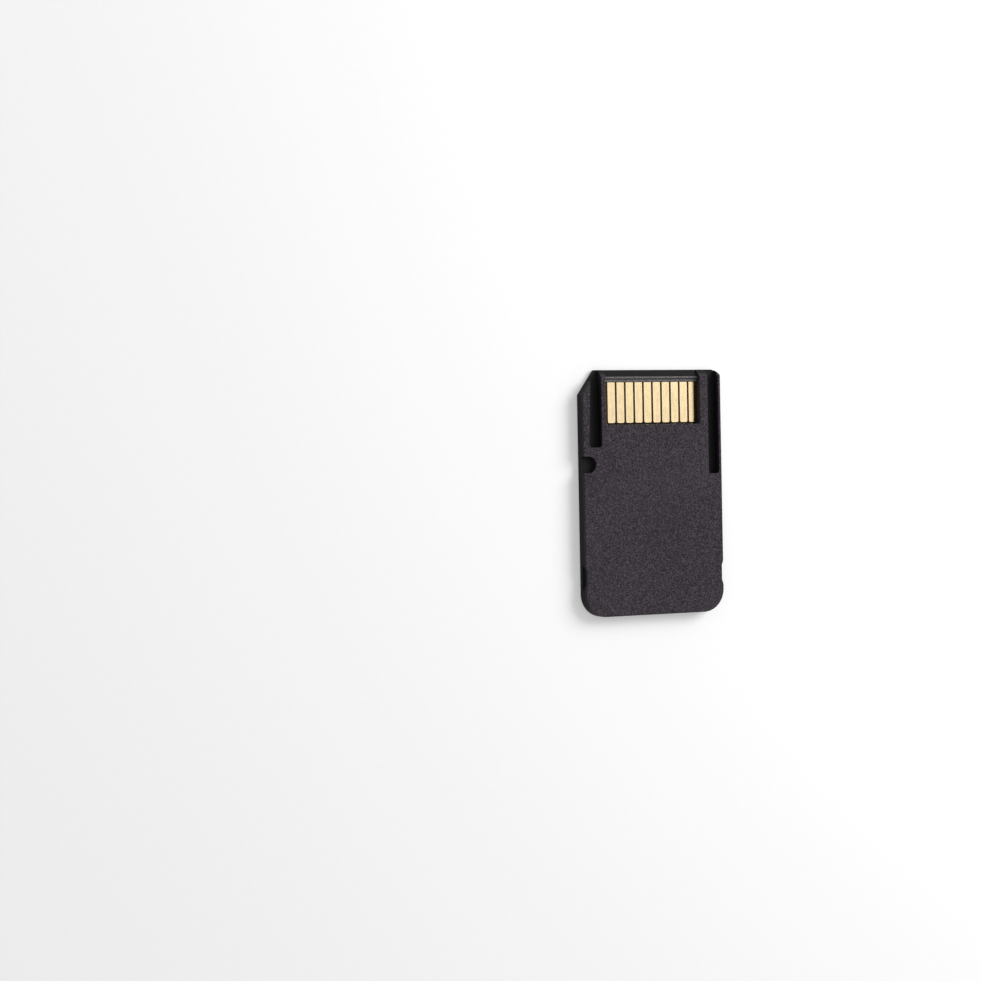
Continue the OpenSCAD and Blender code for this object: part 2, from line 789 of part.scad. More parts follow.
contact_side_shell();
label_side_tray();
circuit_board();
contact_pad(1);  // contact_pad_1
contact_pad(2);  // contact_pad_2
contact_pad(3);  // contact_pad_3
contact_pad(4);  // contact_pad_4
contact_pad(5);  // contact_pad_5
contact_pad(6);  // contact_pad_6
contact_pad(7);  // contact_pad_7
contact_pad(8);  // contact_pad_8
contact_pad(9);  // contact_pad_9
contact_pad(10);  // contact_pad_10
spring_block();
card_spring(1);  // card_spring_1
card_spring(2);  // card_spring_2
card_spring(3);  // card_spring_3
card_spring(4);  // card_spring_4
card_spring(5);  // card_spring_5
card_spring(6);  // card_spring_6
card_spring(7);  // card_spring_7
card_spring(8);  // card_spring_8
bridge_chip();
small_part(-1, 0, capacitor_h, [0.55, 0.42, 0.30]);  // capacitor_1
small_part(1, 0, capacitor_h, [0.55, 0.42, 0.30]);  // capacitor_2
small_part(-1, 1, resistor_h, [0.12, 0.12, 0.13]);  // resistor_1
small_part(1, 1, resistor_h, [0.12, 0.12, 0.13]);  // resistor_2
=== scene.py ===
"""Memory card adapter of the duo size, lying label side down under the photograph's view."""
import math

import bpy
from mathutils import Matrix, Vector


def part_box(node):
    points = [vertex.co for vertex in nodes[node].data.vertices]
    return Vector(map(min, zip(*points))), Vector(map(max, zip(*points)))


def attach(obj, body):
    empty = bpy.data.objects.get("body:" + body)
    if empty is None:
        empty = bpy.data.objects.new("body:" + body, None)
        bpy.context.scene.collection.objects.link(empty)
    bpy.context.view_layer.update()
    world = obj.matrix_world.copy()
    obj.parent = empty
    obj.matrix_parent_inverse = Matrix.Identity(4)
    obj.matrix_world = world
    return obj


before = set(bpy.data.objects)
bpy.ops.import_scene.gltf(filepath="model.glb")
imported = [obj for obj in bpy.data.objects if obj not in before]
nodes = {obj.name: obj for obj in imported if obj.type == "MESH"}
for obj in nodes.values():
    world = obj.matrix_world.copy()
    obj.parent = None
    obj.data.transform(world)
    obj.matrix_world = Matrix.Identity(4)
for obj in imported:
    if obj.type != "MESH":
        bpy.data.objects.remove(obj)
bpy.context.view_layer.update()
mm = 0.001


# Label-side tray: the lower half, injection moulded in black styrene blend. It carries the floor,
# the side walls and both guide grooves. The tool is polished, so its surfaces come out smooth and
# a shade darker than the cover, with faint flow marks and edges rubbed a little paler by use.
tray_colour = (0.0120, 0.0120, 0.0125, 1)
tray_rubbed = (0.030, 0.030, 0.031, 1)
tray_wear = 0.55
tray_flow = 7 * mm
tray_flow_gain = 1.22
tray_flow_range = (0.25, 0.75)
tray_ripple = 0.16 * mm
tray_relief = (0.35, 0.006 * mm)
tray_roughness = (0.46, 0.58)
tray_gloss = 0.06
rub_radius = 0.09 * mm
rub_turn = (0.02, 0.25)
rub_patch = 2 * mm
rub_patch_range = (0.3, 0.65)
pit_ratio = 1.35
pit_share = 0.60
speckle_range = (0.2, 0.8)
noise_middle = (0.3, 0.7)


def join(tree, value, socket):
    """A socket set to a number or colour, or linked to another socket."""
    if isinstance(value, bpy.types.NodeSocket):
        tree.links.new(value, socket)
    else:
        socket.default_value = value


def fill(tree, node, **sockets):
    """A node's sockets, found by name, each set or linked."""
    for label, value in sockets.items():
        join(tree, value, node.inputs[label.replace("_", " ")])


def put(tree, kind, settings=(), **sockets):
    """A new node with its settings and its sockets."""
    node = tree.nodes.new(kind)
    for key, value in dict(settings).items():
        setattr(node, key, value)
    fill(tree, node, **sockets)
    return node


def calc(tree, operation, *values):
    """The result of a Math node on numbers or sockets."""
    node = put(tree, "ShaderNodeMath", {"operation": operation})
    for socket, value in zip(node.inputs, values):
        join(tree, value, socket)
    return node.outputs[0]


def ramp(tree, value, low, high, to_low=0.0, to_high=1.0):
    """A smooth step of a value from one level to another."""
    node = put(tree, "ShaderNodeMapRange", {"interpolation_type": "SMOOTHSTEP"}, Value=value,
               From_Min=low, From_Max=high, To_Min=to_low, To_Max=to_high)
    return node.outputs["Result"]


def spread(tree, value, to_low=0.0, to_high=1.0):
    """The middle of a noise's range, drawn out between two levels."""
    return ramp(tree, value, *noise_middle, to_low, to_high)


def mixed(tree, factor, one, other):
    """A colour between two colours."""
    node = put(tree, "ShaderNodeMix", {"data_type": "RGBA"})
    for index, value in ((0, factor), (6, one), (7, other)):
        join(tree, value, node.inputs[index])
    return node.outputs[2]


def shade(colour, factor):
    """A colour made paler or darker by a factor."""
    return tuple(factor * level for level in colour[:3]) + (1,)


def noise(tree, place, feature, detail=2.0, roughness=0.5, scale=(1, 1, 1)):
    """Noise with lumps of about the given size, in metres."""
    mapping = put(tree, "ShaderNodeMapping", Vector=place, Scale=scale)
    node = put(tree, "ShaderNodeTexNoise", Vector=mapping.outputs[0], Scale=1 / feature,
               Detail=detail, Roughness=roughness)
    return node.outputs["Fac"]


def emboss(tree, height, strength, depth):
    """A normal that follows a height, with a strength up to 1 and a depth in metres."""
    return put(tree, "ShaderNodeBump", Height=height, Strength=strength, Distance=depth).outputs[0]


def new_group(name, inputs, outputs):
    """An empty shader node group that takes a place and named numbers, and gives named numbers."""
    group = bpy.data.node_groups.new(name, "ShaderNodeTree")
    group.interface.new_socket("Vector", in_out="INPUT", socket_type="NodeSocketVector")
    for label in inputs:
        group.interface.new_socket(label, in_out="INPUT", socket_type="NodeSocketFloat")
    for label in outputs:
        group.interface.new_socket(label, in_out="OUTPUT", socket_type="NodeSocketFloat")
    given = group.nodes.new("NodeGroupInput").outputs
    return group, given, group.nodes.new("NodeGroupOutput").inputs


def make_edge_rub():
    """Group: a mask of the outer edges, broken up by patches."""
    group, given, out = new_group("edge_rub", ["Patch"], ["Mask"])
    rounded = put(group, "ShaderNodeBevel", {"samples": 6}, Radius=rub_radius).outputs[0]
    flat = put(group, "ShaderNodeNewGeometry").outputs["True Normal"]
    dot = put(group, "ShaderNodeVectorMath", {"operation": "DOT_PRODUCT"})
    join(group, rounded, dot.inputs[0])
    join(group, flat, dot.inputs[1])
    edge = ramp(group, calc(group, "SUBTRACT", 1.0, dot.outputs["Value"]), *rub_turn)
    patches = put(group, "ShaderNodeTexNoise", Vector=given["Vector"], Scale=given["Patch"],
                  Detail=3.0)
    patched = ramp(group, patches.outputs["Fac"], *rub_patch_range)
    join(group, calc(group, "MULTIPLY", edge, patched), out["Mask"])
    return group


def make_mould_skin():
    """Group: what the tool leaves on moulded plastic: a height, a pale speckle and a slow tone."""
    group, given, out = new_group("mould_skin", ["Grain", "Tone"], ["Height", "Speckle", "Tone"])
    coarse = put(group, "ShaderNodeTexNoise", Vector=given["Vector"], Scale=given["Grain"],
                 Detail=3.0, Roughness=0.68).outputs["Fac"]
    pits = put(group, "ShaderNodeTexVoronoi", Vector=given["Vector"],
               Scale=calc(group, "MULTIPLY", given["Grain"], pit_ratio))
    tone = put(group, "ShaderNodeTexNoise", Vector=given["Vector"], Scale=given["Tone"], Detail=2.0)
    pit = calc(group, "MULTIPLY", pits.outputs["Distance"], pit_share)
    join(group, calc(group, "ADD", coarse, pit), out["Height"])
    join(group, ramp(group, coarse, *speckle_range), out["Speckle"])
    join(group, tone.outputs["Fac"], out["Tone"])
    return group


edge_rub = make_edge_rub()
mould_skin = make_mould_skin()


def use_group(tree, group, **sockets):
    """The outputs of a group placed in a material with its own values."""
    return put(tree, "ShaderNodeGroup", {"node_tree": group}, **sockets).outputs


def new_material(name):
    """A material with its shader, its object coordinates and nothing else."""
    material = bpy.data.materials.new(name)
    material.use_nodes = True
    tree = material.node_tree
    place = put(tree, "ShaderNodeTexCoord").outputs["Object"]
    return material, tree, tree.nodes["Principled BSDF"], place


def along(tree, vector):
    """The X, Y and Z of a vector."""
    return put(tree, "ShaderNodeSeparateXYZ", Vector=vector).outputs


def dress(name, material):
    """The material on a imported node, in each of its slots."""
    for entry in nodes[name].material_slots:
        entry.material = material


def make_tray_plastic():
    material, tree, shader, place = new_material("smooth_plastic")
    skin = use_group(tree, mould_skin, Vector=place, Grain=1 / tray_ripple, Tone=1 / tray_flow)
    rub = use_group(tree, edge_rub, Vector=place, Patch=1 / rub_patch)
    toned = mixed(tree, spread(tree, skin["Tone"]), tray_colour, shade(tray_colour, tray_flow_gain))
    worn = mixed(tree, calc(tree, "MULTIPLY", rub["Mask"], tray_wear), toned, tray_rubbed)
    fill(tree, shader, Base_Color=worn,
         Roughness=ramp(tree, skin["Tone"], *tray_flow_range, *tray_roughness),
         Normal=emboss(tree, skin["Height"], *tray_relief), Specular_IOR_Level=tray_gloss)
    return material


dress("label_side_tray", make_tray_plastic())


# Circuit board: a thin glass and epoxy sheet under dark brown solder resist, routed to drop over
# two of the tray's pegs. It shows as the dark gaps between the contacts, and past their ends a
# strip is painted near black as painted shade, where the cover's closed end shades the board. Its
# weave and the copper tracks under the resist stand up very slightly.
resist_colour = (0.0400, 0.0180, 0.0030, 1)
track_colour = (0.0700, 0.0330, 0.0070, 1)
track_pitch = 1.306 * mm
track_x = -6.083 * mm
track_side = (0.180 * mm, 0.135 * mm)
track_share = 0.6
weave_pitch = 0.42 * mm
weave_share = 0.2
blotch_size = 1.2 * mm
blotch_share = 0.25
patch_range = (0.35, 0.7)
board_relief = (0.4, 0.012 * mm)
board_roughness = (0.30, 0.42)
board_gloss = 0.08
closed_end_shade_colour = (0.0030, 0.0025, 0.0020, 1)
closed_end_shade_w = 0.5 * mm
closed_end_shade_soft = 0.2 * mm
closed_end_shade_edge = (0.01 * mm, -0.07 * mm)
closed_end_shade_share = 0.9


def make_resist():
    material, tree, shader, place = new_material("board")
    axis = along(tree, place)
    past = calc(tree, "DIVIDE", calc(tree, "SUBTRACT", axis["X"], track_x), track_pitch)
    aside = calc(tree, "ABSOLUTE", calc(tree, "SUBTRACT", calc(tree, "FRACT", past), 0.5))
    aside = calc(tree, "MULTIPLY", aside, track_pitch)
    track = ramp(tree, aside, *track_side)
    turn = math.tau / weave_pitch
    warp = calc(tree, "SINE", calc(tree, "MULTIPLY", axis["X"], turn))
    weft = calc(tree, "SINE", calc(tree, "MULTIPLY", axis["Y"], turn))
    weave = calc(tree, "MULTIPLY", warp, weft)
    blotch = noise(tree, place, blotch_size, detail=3.0)
    colour = mixed(tree, calc(tree, "MULTIPLY", track, track_share), resist_colour, track_colour)
    stain = calc(tree, "MULTIPLY", ramp(tree, blotch, *patch_range), blotch_share)
    colour = mixed(tree, stain, colour, track_colour)
    # Painted shade: the board just past the pads' ends is mixed toward near black, as the shade
    # under the window's closed end.
    pads_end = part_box("contact_pad_1")[0].y
    closed_end_shade_stop = pads_end - closed_end_shade_w
    near = ramp(tree, axis["Y"], pads_end + closed_end_shade_edge[0], pads_end + closed_end_shade_edge[1])
    painted_closed_end_shade = calc(tree, "MULTIPLY", near, ramp(tree, axis["Y"], closed_end_shade_stop - closed_end_shade_soft, closed_end_shade_stop))
    colour = mixed(tree, calc(tree, "MULTIPLY", painted_closed_end_shade, closed_end_shade_share), colour, closed_end_shade_colour)
    height = calc(tree, "ADD", calc(tree, "MULTIPLY", weave, weave_share), track)
    fill(tree, shader, Base_Color=colour, Roughness=spread(tree, blotch, *board_roughness),
         Normal=emboss(tree, height, *board_relief), Specular_IOR_Level=board_gloss)
    return material


dress("circuit_board", make_resist())


# Contact pads: ten copper lands on the board, plated with nickel and a flash of satin gold. The
# plating builds up at their edges, which stand up slightly and are painted paler as a painted
# highlight, and the host's spring contacts have drawn fine lines along them. The plating bath
# leaves each pad a slightly different tint.
pad_core = (0.820, 0.662, 0.405)
pad_edge_highlight = (0.865, 0.705, 0.440)
pad_tints = [
    (1.00, 0.98, 0.98), (1.00, 0.97, 0.96), (1.00, 0.98, 0.92), (1.00, 0.97, 0.94),
    (1.00, 0.98, 0.93), (0.99, 0.96, 0.93), (1.00, 0.97, 0.94), (1.00, 0.98, 0.93),
    (1.00, 0.97, 0.92), (1.00, 0.98, 0.93),
]
pad_dull = 0.9
pad_rim = (0.17 * mm, 0.02 * mm)
pad_rim_share = 0.08
pad_mottle = 0.5 * mm
pad_line = 0.05 * mm
pad_line_share = 0.2
pad_line_squash = (1, 0.035, 1)
pad_relief = (0.3, 0.01 * mm)
pad_roughness = (0.17, 0.26)


def inside(tree, value, low, high):
    """How far a coordinate lies inside two limits."""
    return calc(tree, "MINIMUM", calc(tree, "SUBTRACT", value, low),
                calc(tree, "SUBTRACT", high, value))


def make_pad_gold(name, tint):
    """Gold for one pad, with a rim that follows the pad's own sides."""
    material, tree, shader, place = new_material("pad_gold_" + name.rsplit("_", 1)[1])
    low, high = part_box(name)
    axis = along(tree, place)
    from_edge = calc(tree, "MINIMUM", inside(tree, axis["X"], low.x, high.x),
                     inside(tree, axis["Y"], low.y, high.y))
    rim = ramp(tree, from_edge, *pad_rim)
    mottle = noise(tree, place, pad_mottle, detail=3.0, roughness=0.6)
    lines = noise(tree, place, pad_line, scale=pad_line_squash)
    core = tuple(a * b for a, b in zip(pad_core, tint)) + (1,)
    colour = mixed(tree, ramp(tree, mottle, *patch_range), core, shade(core, pad_dull))
    height = calc(tree, "ADD", calc(tree, "MULTIPLY", lines, pad_line_share),
                  calc(tree, "MULTIPLY", rim, pad_rim_share))
    # Painted highlight: each pad's rim is mixed toward a paler gold.
    fill(tree, shader, Base_Color=mixed(tree, rim, colour, pad_edge_highlight + (1,)),
         Roughness=spread(tree, lines, *pad_roughness),
         Normal=emboss(tree, height, *pad_relief), Metallic=1.0)
    return material


for number, tint in enumerate(pad_tints, 1):
    dress(f"contact_pad_{number}", make_pad_gold(f"contact_pad_{number}", tint))


# Spring block: a moulded comb of glass-filled polymer that stands on the board, spaces the eight
# springs and stops the small card. Short glass fibres show as pale streaks in its dull skin.
block_colour = (0.050, 0.047, 0.042, 1)
fibre_colour = (0.120, 0.115, 0.105, 1)
fibre_w = 0.06 * mm
fibre_squash = (0.15, 1, 1)
fibre_range = (0.60, 0.72)
fibre_share = 0.5
block_grain = 0.12 * mm
block_tone = 2 * mm
block_relief = (0.4, 0.006 * mm)
block_roughness = (0.55, 0.70)
block_gloss = 0.3


def make_block_plastic():
    material, tree, shader, place = new_material("block_plastic")
    skin = use_group(tree, mould_skin, Vector=place, Grain=1 / block_grain, Tone=1 / block_tone)
    fibre = noise(tree, place, fibre_w, scale=fibre_squash)
    streak = calc(tree, "MULTIPLY", ramp(tree, fibre, *fibre_range), fibre_share)
    fill(tree, shader, Base_Color=mixed(tree, streak, block_colour, fibre_colour),
         Roughness=spread(tree, skin["Tone"], *block_roughness),
         Normal=emboss(tree, skin["Height"], *block_relief), Specular_IOR_Level=block_gloss)
    return material


dress("spring_block", make_block_plastic())


# Card springs: eight strips of phosphor bronze, stamped, formed and plated with a gold flash.
# They are rolled stock, so fine lines run along them, and their tails are tinned where they are
# soldered down.
spring_colour = (0.83, 0.63, 0.33, 1)
tinned_colour = (0.66, 0.66, 0.65, 1)
tail_y = (1.75 * mm, 1.90 * mm)
tail_z = (0.86 * mm, 0.81 * mm)
spring_line = 0.04 * mm
spring_line_squash = (1, 0.05, 0.05)
spring_relief = (0.3, 0.004 * mm)
spring_roughness = (0.24, 0.40)
spring_count = 8


def make_spring_gold():
    material, tree, shader, place = new_material("spring_gold")
    axis = along(tree, place)
    tinned = calc(tree, "MULTIPLY", ramp(tree, axis["Y"], *tail_y), ramp(tree, axis["Z"], *tail_z))
    lines = noise(tree, place, spring_line, scale=spring_line_squash)
    fill(tree, shader, Base_Color=mixed(tree, tinned, spring_colour, tinned_colour),
         Roughness=spread(tree, lines, *spring_roughness),
         Normal=emboss(tree, lines, *spring_relief), Metallic=1.0)
    return material


spring_gold = make_spring_gold()
for number in range(1, spring_count + 1):
    dress(f"card_spring_{number}", spring_gold)


# Solder joints: one low mound of tin solder over the end of each spring's tail, reflowed onto the
# board. They are set out from the springs' own places, one tree for the whole row.
tin_pale = (0.70, 0.70, 0.69, 1)
tin_dull = (0.55, 0.55, 0.55, 1)
tin_roughness = (0.22, 0.38)
tin_relief = (0.3, 0.01 * mm)
joint_sides = 20
joint_rings = 4
joint_foot = 0.36 * mm
joint_head = 0.20 * mm
joint_rise = 0.13 * mm
joint_in = 0.12 * mm
joint_squeeze = 0.62
joint_wrinkle = 0.18 * mm
joint_flat_from = 0.98


def make_tin(name, feature):
    """Solder or tinned metal, dull and slightly wrinkled."""
    material, tree, shader, place = new_material(name)
    wrinkle = noise(tree, place, feature, detail=3.0, roughness=0.55)
    fill(tree, shader, Base_Color=mixed(tree, spread(tree, wrinkle), tin_pale, tin_dull),
         Roughness=spread(tree, wrinkle, *tin_roughness),
         Normal=emboss(tree, wrinkle, *tin_relief), Metallic=1.0)
    return material


def new_row_tree(name, labels):
    """An empty Geometry Nodes tree with named inputs: a whole number for a count, else a length."""
    tree = bpy.data.node_groups.new(name, "GeometryNodeTree")
    for label in labels:
        kind = "NodeSocketInt" if label == "Count" else "NodeSocketFloat"
        tree.interface.new_socket(label, in_out="INPUT", socket_type=kind)
    tree.interface.new_socket("Geometry", in_out="OUTPUT", socket_type="NodeSocketGeometry")
    return tree, tree.nodes.new("NodeGroupInput").outputs, tree.nodes.new("NodeGroupOutput").inputs


def triple(tree, x, y, z):
    """A vector from numbers or sockets."""
    return put(tree, "ShaderNodeCombineXYZ", X=x, Y=y, Z=z).outputs[0]


def finish_tree(tree, shape, material, out):
    """The tree's end: real meshes instead of instances, with their material."""
    solid = put(tree, "GeometryNodeRealizeInstances", Geometry=shape)
    painted = put(tree, "GeometryNodeSetMaterial", Geometry=solid.outputs[0], Material=material)
    join(tree, painted.outputs[0], out["Geometry"])


def grow(name, tree, sizes):
    """The plain mesh that a tree makes from its sizes, as a piece that rides on the body."""
    seed = bpy.data.objects.new(name + "_seed", bpy.data.meshes.new(name + "_seed"))
    bpy.context.scene.collection.objects.link(seed)
    row = seed.modifiers.new("row", "NODES")
    row.node_group = tree
    for socket in tree.interface.items_tree:
        if socket.in_out == "INPUT":
            row[socket.identifier] = sizes[socket.name]
    graph = bpy.context.evaluated_depsgraph_get()
    mesh = bpy.data.meshes.new_from_object(seed.evaluated_get(graph), depsgraph=graph)
    bpy.data.objects.remove(seed)
    mesh.name = name
    piece = bpy.data.objects.new(name, mesh)
    bpy.context.scene.collection.objects.link(piece)
    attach(piece, "root")
    return piece


def make_solder_row():
    first_low, first_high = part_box("card_spring_1")
    last_low, last_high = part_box("card_spring_8")
    start_x = (first_low.x + first_high.x) / 2
    pitch = ((last_low.x + last_high.x) / 2 - start_x) / (spring_count - 1)
    sizes = {"Start X": start_x, "Start Y": first_high.y - joint_in,
             "Board top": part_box("circuit_board")[1].z, "Pitch": pitch, "Foot": joint_foot,
             "Head": joint_head, "Rise": joint_rise, "Count": spring_count}
    tree, given, out = new_row_tree("solder_row", sizes)
    start = triple(tree, given["Start X"], given["Start Y"], given["Board top"])
    row = put(tree, "GeometryNodeMeshLine", Count=given["Count"], Start_Location=start,
              Offset=triple(tree, given["Pitch"], 0.0, 0.0))
    mound = put(tree, "GeometryNodeMeshCone", Vertices=joint_sides, Side_Segments=joint_rings,
                Radius_Top=given["Head"], Radius_Bottom=given["Foot"], Depth=given["Rise"])
    placed = put(tree, "GeometryNodeInstanceOnPoints", Points=row.outputs[0],
                 Instance=mound.outputs[0], Scale=(1.0, joint_squeeze, 1.0))
    finish_tree(tree, placed.outputs[0], make_tin("solder", joint_wrinkle), out)
    piece = grow("solder_joints", tree, sizes)
    for face in piece.data.polygons:
        face.use_smooth = abs(face.normal.z) < joint_flat_from


make_solder_row()


# Bridge chip: a black epoxy package that translates between the two card formats, with a round
# dimple at its first lead. The moulding compound is full of fine silica, so it looks like slate.
epoxy_colour = (0.0165, 0.0165, 0.0175, 1)
silica_colour = (0.045, 0.045, 0.047, 1)
silica_share = 0.35
epoxy_grain = 0.09 * mm
epoxy_tone = 1.5 * mm
epoxy_relief = (0.5, 0.005 * mm)
epoxy_roughness = (0.55, 0.68)
epoxy_gloss = 0.3


def make_epoxy():
    material, tree, shader, place = new_material("chip_epoxy")
    skin = use_group(tree, mould_skin, Vector=place, Grain=1 / epoxy_grain, Tone=1 / epoxy_tone)
    fleck = calc(tree, "MULTIPLY", skin["Speckle"], silica_share)
    fill(tree, shader, Base_Color=mixed(tree, fleck, epoxy_colour, silica_colour),
         Roughness=spread(tree, skin["Tone"], *epoxy_roughness),
         Normal=emboss(tree, skin["Height"], *epoxy_relief), Specular_IOR_Level=epoxy_gloss)
    return material


dress("bridge_chip", make_epoxy())


# Chip leads: two rows of tinned leads, bent out and down from the middle of the package's long
# sides to the board. One bent strip is repeated along each side.
lead_w = 0.24 * mm
lead_t = 0.06 * mm
lead_root = -0.04 * mm
lead_knee = 0.11 * mm
lead_heel = 0.15 * mm
lead_reach = 0.34 * mm
lead_bend = 0.05 * mm
lead_bend_parts = 4
lead_pitch = 0.62 * mm
lead_count = 8
lead_wrinkle = 0.1 * mm


def make_lead_rows():
    low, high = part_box("bridge_chip")
    sizes = {"Side X": (high.x - low.x) / 2, "Middle X": (low.x + high.x) / 2,
             "Middle Y": (low.y + high.y) / 2, "Pitch": lead_pitch, "Width": lead_w,
             "Thickness": lead_t, "Bend": lead_bend, "Count": lead_count}
    tree, given, out = new_row_tree("lead_rows", sizes)
    half_row = calc(tree, "MULTIPLY", calc(tree, "SUBTRACT", given["Count"], 1.0), -0.5)
    start = triple(tree, given["Side X"], calc(tree, "MULTIPLY", half_row, given["Pitch"]), 0.0)
    row = put(tree, "GeometryNodeMeshLine", Count=given["Count"], Start_Location=start,
              Offset=triple(tree, 0.0, given["Pitch"], 0.0))
    middle = (low.z + high.z) / 2
    foot = low.z + lead_t / 2
    track = [(lead_root, middle), (lead_knee, middle), (lead_heel, foot), (lead_reach, foot)]
    spots = put(tree, "GeometryNodeIndexSwitch", {"data_type": "VECTOR"},
                Index=put(tree, "GeometryNodeInputIndex").outputs[0])
    while len(spots.index_switch_items) < len(track):
        spots.index_switch_items.new()
    for socket, (x, z) in zip(spots.inputs[1:], track):
        socket.default_value = (x, 0.0, z)
    line = put(tree, "GeometryNodeMeshLine", Count=len(track))
    bent = put(tree, "GeometryNodeSetPosition", Geometry=line.outputs[0], Position=spots.outputs[0])
    curve = put(tree, "GeometryNodeMeshToCurve", Mesh=bent.outputs[0])
    soft = put(tree, "GeometryNodeFilletCurve", {"mode": "POLY"}, Curve=curve.outputs[0],
               Count=lead_bend_parts, Radius=given["Bend"])
    strip = put(tree, "GeometryNodeCurvePrimitiveQuadrilateral", Width=given["Width"],
                Height=given["Thickness"])
    lead = put(tree, "GeometryNodeCurveToMesh", Curve=soft.outputs[0],
               Profile_Curve=strip.outputs[0], Fill_Caps=True)
    side = put(tree, "GeometryNodeInstanceOnPoints", Points=row.outputs[0],
               Instance=lead.outputs[0])
    solid = put(tree, "GeometryNodeRealizeInstances", Geometry=side.outputs[0])
    both = put(tree, "GeometryNodeJoinGeometry")
    for turned in (0.0, math.pi):
        moved = put(tree, "GeometryNodeTransform", Geometry=solid.outputs[0],
                    Rotation=(0.0, 0.0, turned),
                    Translation=triple(tree, given["Middle X"], given["Middle Y"], 0.0))
        join(tree, moved.outputs[0], both.inputs[0])
    finish_tree(tree, both.outputs[0], make_tin("tinned_leads", lead_wrinkle), out)
    grow("chip_leads", tree, sizes)


make_lead_rows()


# Capacitors and resistors: fired ceramic bodies, tan for the capacitors and black glaze for the
# resistors, with tinned ends that are dipped on and soldered to the board.
capacitor_colour = (0.30, 0.19, 0.105, 1)
capacitor_roughness = (0.44, 0.56)
resistor_colour = (0.015, 0.015, 0.017, 1)
resistor_roughness = (0.16, 0.28)
end_colour = (0.68, 0.68, 0.67, 1)
end_edge = (0.232 * mm, 0.216 * mm)
small_mottle = 0.08 * mm
small_mottle_gain = 0.78
small_relief = (0.3, 0.006 * mm)


def make_small_part(name, body_colour, roughness):
    material, tree, shader, place = new_material(name + "_finish")
    low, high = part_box(name)
    tinned = ramp(tree, inside(tree, along(tree, place)["X"], low.x, high.x), *end_edge)
    mottle = noise(tree, place, small_mottle, detail=3.0)
    body = mixed(tree, spread(tree, mottle), body_colour, shade(body_colour, small_mottle_gain))
    fill(tree, shader, Base_Color=mixed(tree, tinned, body, end_colour), Metallic=tinned,
         Roughness=spread(tree, mottle, *roughness), Normal=emboss(tree, mottle, *small_relief))
    return material


for name in ("capacitor_1", "capacitor_2"):
    dress(name, make_small_part(name, capacitor_colour, capacitor_roughness))
for name in ("resistor_1", "resistor_2"):
    dress(name, make_small_part(name, resistor_colour, resistor_roughness))


# Contact-side shell: the cover plate, moulded in the same black blend but against a spark-eroded
# tool. Its outer face has an even, slightly purple grain, while its edges and the window's sides
# are smooth and darker. The host's contacts ride over the lip, and its upward faces are painted
# pale, partly as their rubbing and partly as a painted highlight.
face_tint = (0.0970, 0.0745, 0.1010, 1)
face_deep = (0, 0, 0, 1)
face_gain = 1.13
face_contrast = 2.2
face_tone = 9 * mm
face_roughness = (0.58, 0.68)
face_gloss = 0.2
grain = 0.17 * mm
grain_relief = (0.8, 0.1 * mm)
grain_edge = (1.53 * mm, 1.585 * mm)
cover_smooth = (0.0150, 0.0140, 0.0150, 1)
cover_wear = 0.5
smooth_grain = 0.06
smooth_polish = 0.12
lip_wear_sheen_dull = (0.0700, 0.0650, 0.0650, 1)
lip_wear_sheen_pale = (0.1750, 0.1640, 0.1640, 1)
lip_edge = (1.20 * mm, 1.15 * mm)
lip_facing = (0.3, 0.8)


def make_face_plastic():
    material, tree, shader, place = new_material("grained_plastic")
    skin = use_group(tree, mould_skin, Vector=place, Grain=1 / grain, Tone=1 / face_tone)
    rub = use_group(tree, edge_rub, Vector=place, Patch=1 / rub_patch)
    height = along(tree, place)["Z"]
    upward = along(tree, put(tree, "ShaderNodeNewGeometry").outputs["True Normal"])["Z"]
    grained = ramp(tree, height, *grain_edge)
    peak = calc(tree, "POWER", calc(tree, "MULTIPLY", skin["Speckle"], face_gain), face_contrast)
    face = mixed(tree, peak, face_deep, face_tint)
    # Painted highlight: the lip's upward faces are mixed toward a speckled pale grey, partly as
    # rubbing and partly as a painted highlight.
    lip = calc(tree, "MULTIPLY", ramp(tree, height, *lip_edge), ramp(tree, upward, *lip_facing))
    worn = calc(tree, "MULTIPLY", rub["Mask"], cover_wear)
    smooth = mixed(tree, worn, cover_smooth, tray_rubbed)
    lip_wear_and_sheen = mixed(tree, ramp(tree, skin["Speckle"], *speckle_range), lip_wear_sheen_dull, lip_wear_sheen_pale)
    smooth = mixed(tree, lip, smooth, lip_wear_and_sheen)
    polish = calc(tree, "MULTIPLY", calc(tree, "SUBTRACT", 1.0, grained), smooth_polish)
    rough = calc(tree, "SUBTRACT", spread(tree, skin["Tone"], *face_roughness), polish)
    share = calc(tree, "MULTIPLY", grained, 1.0 - smooth_grain)
    relief = calc(tree, "MULTIPLY", skin["Height"], calc(tree, "ADD", smooth_grain, share))
    fill(tree, shader, Base_Color=mixed(tree, grained, smooth, face), Roughness=rough,
         Normal=emboss(tree, relief, *grain_relief), Specular_IOR_Level=face_gloss)
    return material


dress("contact_side_shell", make_face_plastic())


# Table: a pale matt sheet that the adapter lies on. The camera, and what glossy metal shows, see
# it lifted to white, a little more where the lamp no longer reaches, and it keeps the soft shadow.
white = (1, 1, 1, 1)
sheet_reach = 1.0
sheet_drop = 0.02 * mm
sheet_colour = (0.82, 0.82, 0.82, 1)
sheet_fleck_colour = (0.83, 0.83, 0.83, 1)
sheet_fleck = 0.8 * mm
sheet_roughness = 0.9
sheet_near = 0.05
sheet_far = 0.50
sheet_lift = 0.27
sheet_far_lift = 0.60


def white_seen(tree):
    """1 for the rays that show the background: those of the camera, of gloss and of glass."""
    rays = put(tree, "ShaderNodeLightPath").outputs
    seen = calc(tree, "MAXIMUM", rays["Is Camera Ray"], rays["Is Glossy Ray"])
    return calc(tree, "MAXIMUM", seen, rays["Is Transmission Ray"])


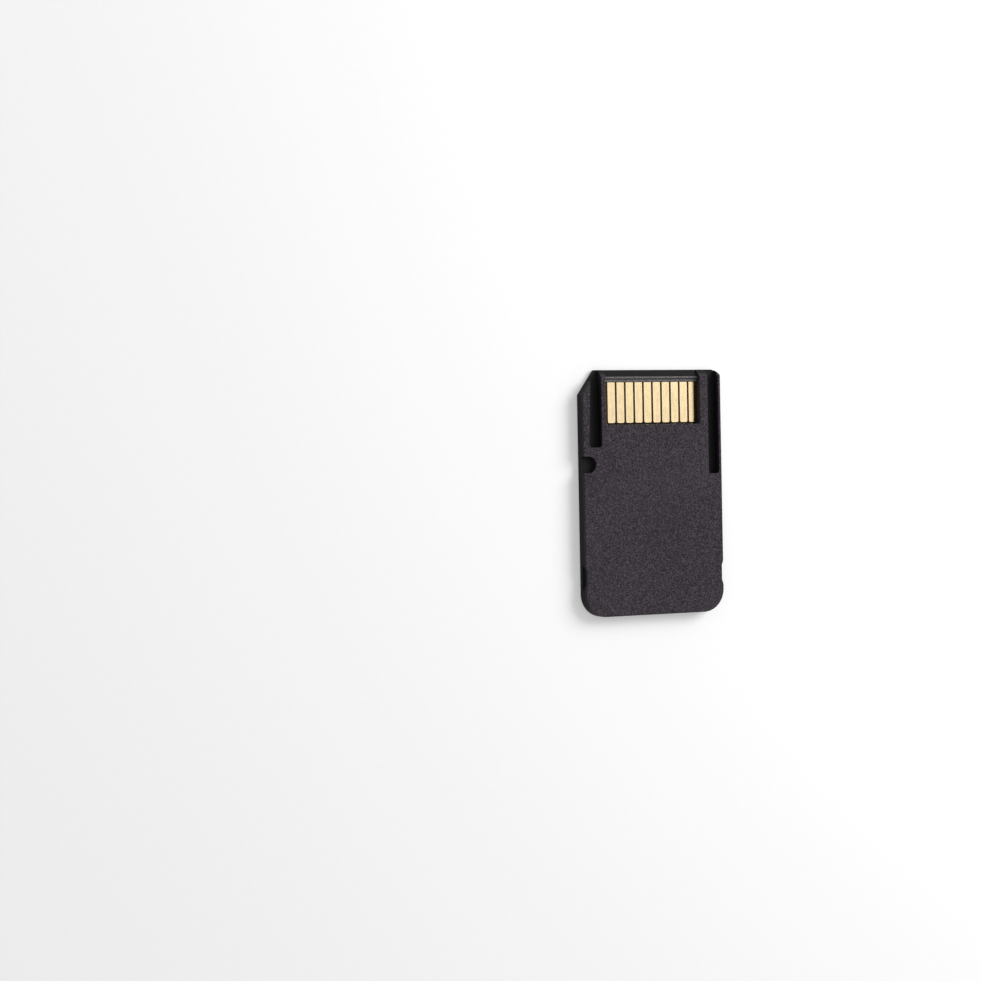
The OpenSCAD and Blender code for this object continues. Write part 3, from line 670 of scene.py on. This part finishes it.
def make_table():
    corners = [(-sheet_reach, -sheet_reach), (sheet_reach, -sheet_reach),
               (sheet_reach, sheet_reach), (-sheet_reach, sheet_reach)]
    mesh = bpy.data.meshes.new("table_sheet")
    mesh.from_pydata([(x, y, -sheet_drop) for x, y in corners], [], [(0, 1, 2, 3)])
    table = bpy.data.objects.new("table_sheet", mesh)
    bpy.context.scene.collection.objects.link(table)
    material, tree, shader, place = new_material("pale_sheet")
    fleck = spread(tree, noise(tree, place, sheet_fleck))
    away = put(tree, "ShaderNodeVectorMath", {"operation": "LENGTH"}, Vector=place)
    lift = ramp(tree, away.outputs["Value"], sheet_near, sheet_far, sheet_lift, sheet_far_lift)
    fill(tree, shader, Base_Color=mixed(tree, fleck, sheet_colour, sheet_fleck_colour),
         Roughness=sheet_roughness, Specular_IOR_Level=0.0, Emission_Color=white,
         Emission_Strength=calc(tree, "MULTIPLY", white_seen(tree), lift))
    mesh.materials.append(material)


make_table()


# Studio: an even white surround and one soft lamp to the right and past the contact end, at the
# level where a colour renders about as it is written.
surround = 0.45
key_place = (0.204, 0.132, 0.180)
key_size = 0.18
key_power = 0.756


def make_world():
    world = bpy.data.worlds.new("studio")
    bpy.context.scene.world = world
    world.use_nodes = True
    tree = world.node_tree
    lift = calc(tree, "MULTIPLY", white_seen(tree), 1.0 - surround)
    fill(tree, tree.nodes["Background"], Color=white, Strength=calc(tree, "ADD", lift, surround))


def make_key_lamp():
    """A square area lamp that faces the adapter."""
    lamp = bpy.data.lights.new("key_lamp", "AREA")
    lamp.size = key_size
    lamp.energy = key_power
    holder = bpy.data.objects.new("key_lamp", lamp)
    bpy.context.scene.collection.objects.link(holder)
    turn = Vector(key_place).to_track_quat("Z", "Y").to_matrix().to_4x4()
    holder.matrix_world = Matrix.Translation(key_place) @ turn


make_world()
make_key_lamp()
bpy.context.scene.view_settings.view_transform = "Standard"


# Camera: the photograph's view, from the left of the contact face and a little past square on.
# The adapter lies down here, so the camera looks down on it along the same line.
camera_place = (-0.155305, 0.006282, 0.277851)
camera_right = (0.901533, -0.019527, 0.432270)
camera_up = (0.025351, 0.999649, -0.007714)
camera_back = (-0.431967, 0.017913, 0.901711)
camera_lens = 91.743
camera_sensor = 36.0
camera_clip = (0.01, 10.0)


def make_camera():
    data = bpy.data.cameras.new("camera")
    data.lens = camera_lens
    data.sensor_width = camera_sensor
    data.clip_start, data.clip_end = camera_clip
    holder = bpy.data.objects.new("camera", data)
    bpy.context.scene.collection.objects.link(holder)
    turn = Matrix((camera_right, camera_up, camera_back)).transposed().to_4x4()
    holder.matrix_world = Matrix.Translation(camera_place) @ turn
    bpy.context.scene.camera = holder


make_camera()
